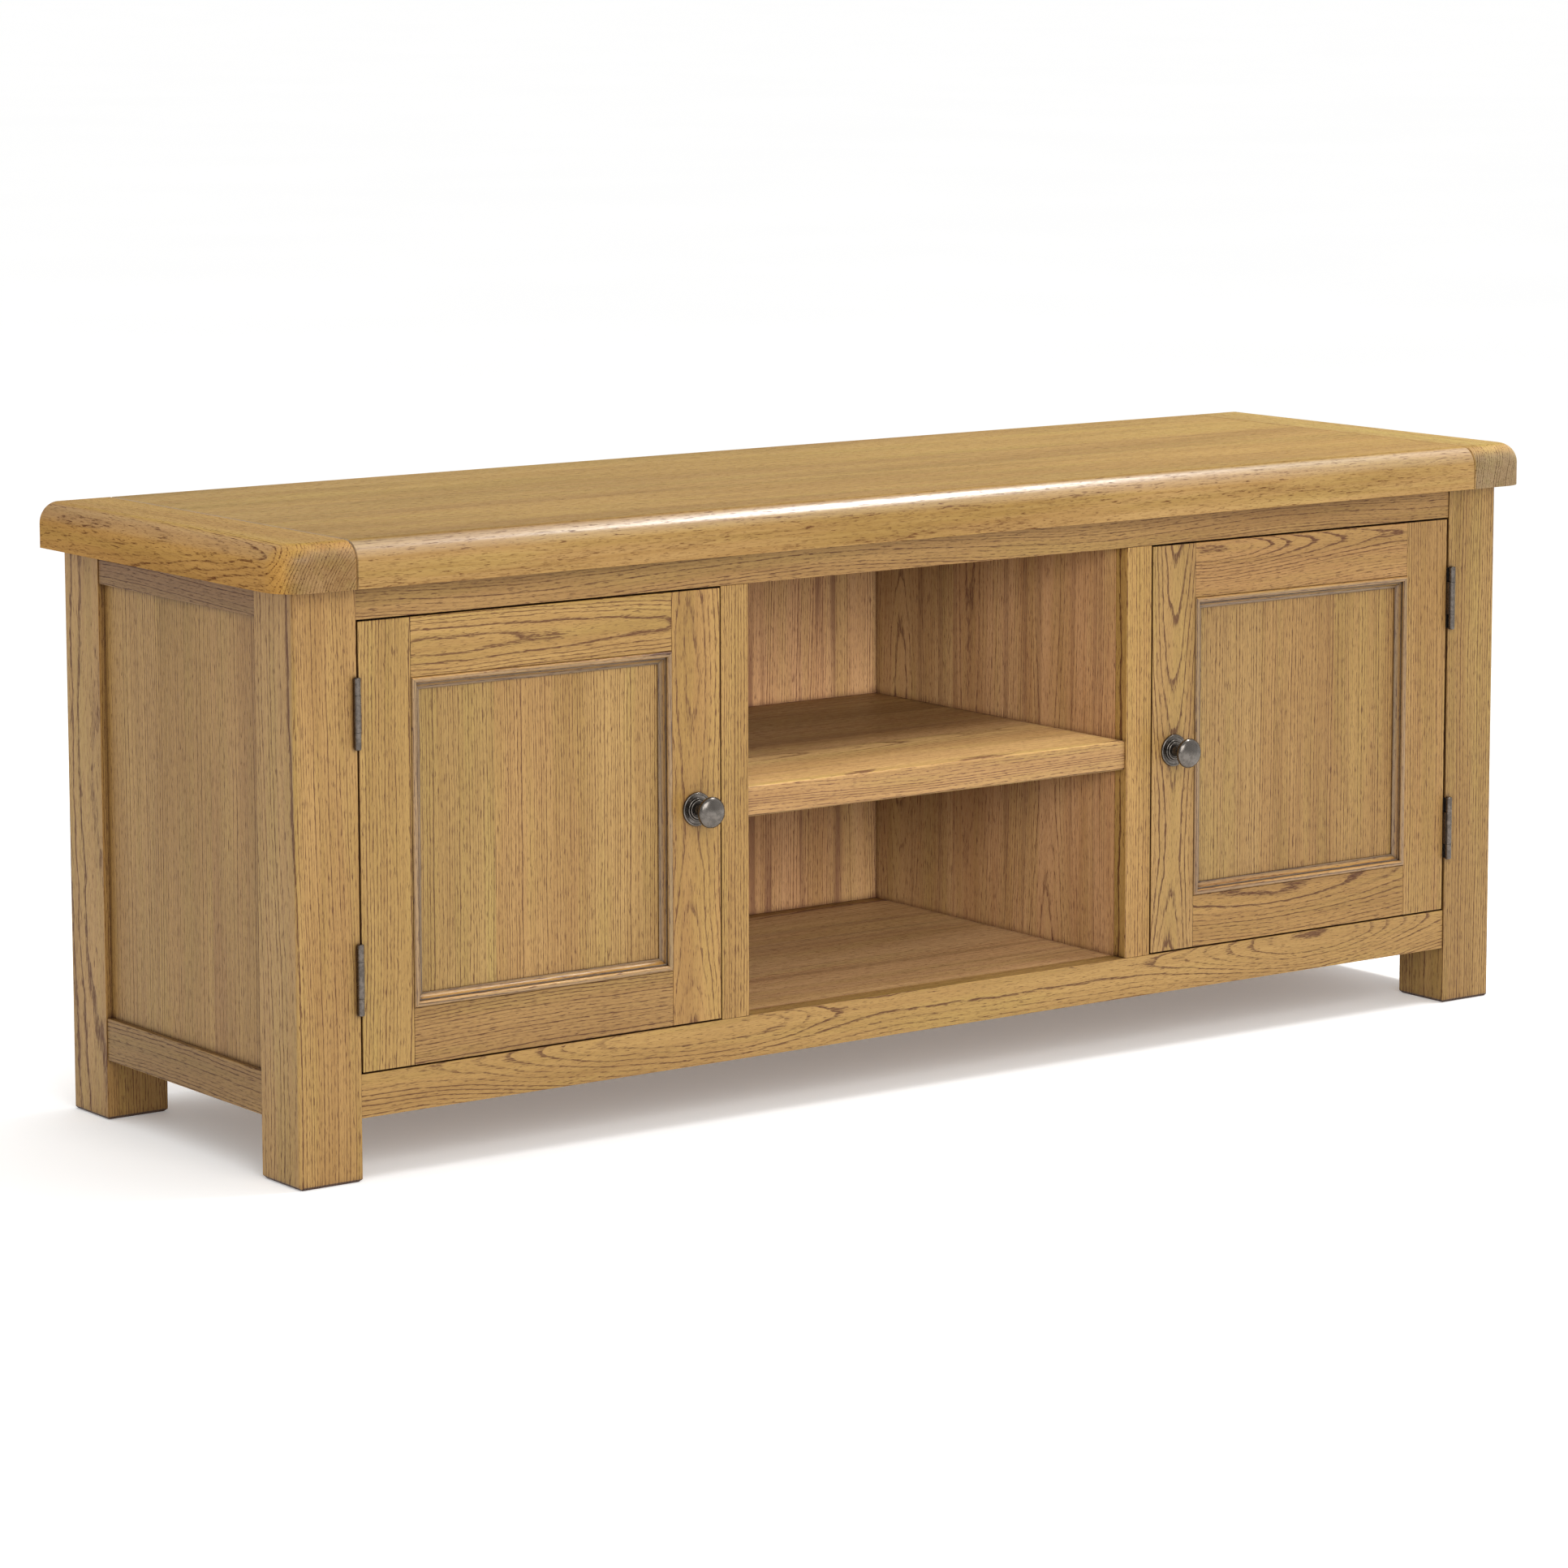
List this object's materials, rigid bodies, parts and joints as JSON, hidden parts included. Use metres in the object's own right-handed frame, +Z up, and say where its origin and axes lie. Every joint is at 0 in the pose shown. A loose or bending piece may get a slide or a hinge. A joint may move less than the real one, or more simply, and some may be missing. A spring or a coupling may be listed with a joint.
{
  "type": "media cabinet",
  "caption": "Low oak media cabinet with an open shelved bay between two cupboards with framed inset doors, turned knobs and butt hinges.",
  "frame": {"origin": "on the floor, at the middle of the overall width and of the overall depth with the knobs", "axes": "+X to the right as seen from the front, +Y to the back, +Z up; the doors face -Y"},
  "size_m": [1.5, 0.45, 0.585],
  "materials": {
    "oak": "satin lacquer",
    "top_oak": "satin lacquer",
    "inside_oak": "satin lacquer",
    "hinge_metal": "antique bronze, satin",
    "knob_metal": "antique pewter, polished on the edges",
    "screw_steel": "antique plated",
    "plated_steel": "bright zinc",
    "catch_plastic": "brown, matt"
  },
  "bodies": {
    "root": {"back_bottom_rail": "oak", "back_panel": "inside_oak", "back_top_rail": "inside_oak", "centre_shelf": "inside_oak", "cupboard_shelf_left": "inside_oak", "cupboard_shelf_right": "inside_oak", "divider_post_left": "oak", "divider_post_right": "oak", "floor_board": "inside_oak", "frame_screws": "screw_steel", "front_bottom_rail": "oak", "front_top_rail": "oak", "hinge_pins": "hinge_metal", "leg_back_left": "oak", "leg_back_right": "oak", "leg_front_left": "oak", "leg_front_right": "oak", "lower_frame_leaf_left": "hinge_metal", "lower_frame_leaf_right": "hinge_metal", "magnetic_catches": "catch_plastic", "partition_left": "inside_oak", "partition_right": "inside_oak", "shelf_pins": "plated_steel", "side_bottom_rail_left": "oak", "side_bottom_rail_right": "oak", "side_panel_left": "oak", "side_panel_right": "oak", "side_top_rail_left": "oak", "side_top_rail_right": "oak", "top_end_left": "top_oak", "top_end_right": "top_oak", "top_panel": "top_oak", "upper_frame_leaf_left": "hinge_metal", "upper_frame_leaf_right": "hinge_metal"},
    "left_door": {"left_door_beading": "oak", "left_door_bottom_rail": "oak", "left_door_hinge_screws": "screw_steel", "left_door_hinge_stile": "oak", "left_door_knob": "knob_metal", "left_door_knob_plate": "knob_metal", "left_door_knob_screw": "screw_steel", "left_door_lock_stile": "oak", "left_door_panel": "oak", "left_door_strike_plate": "plated_steel", "left_door_top_rail": "oak", "lower_door_leaf_left": "hinge_metal", "upper_door_leaf_left": "hinge_metal"},
    "right_door": {"right_door_beading": "oak", "right_door_bottom_rail": "oak", "right_door_hinge_screws": "screw_steel", "right_door_hinge_stile": "oak", "right_door_knob": "knob_metal", "right_door_knob_plate": "knob_metal", "right_door_knob_screw": "screw_steel", "right_door_lock_stile": "oak", "right_door_panel": "oak", "right_door_strike_plate": "plated_steel", "right_door_top_rail": "oak", "lower_door_leaf_right": "hinge_metal", "upper_door_leaf_right": "hinge_metal"}
  },
  "joints": [
    {"name": "left_door_hinge", "type": "hinge", "parent": "root", "child": "left_door", "pos_m": [-0.6627, -0.1994, 0.30675], "axis": [0, 0, -1], "range_deg": [0, 180]},
    {"name": "right_door_hinge", "type": "hinge", "parent": "root", "child": "right_door", "pos_m": [0.6627, -0.1994, 0.30675], "axis": [0, 0, 1], "range_deg": [0, 180]}
  ]
}
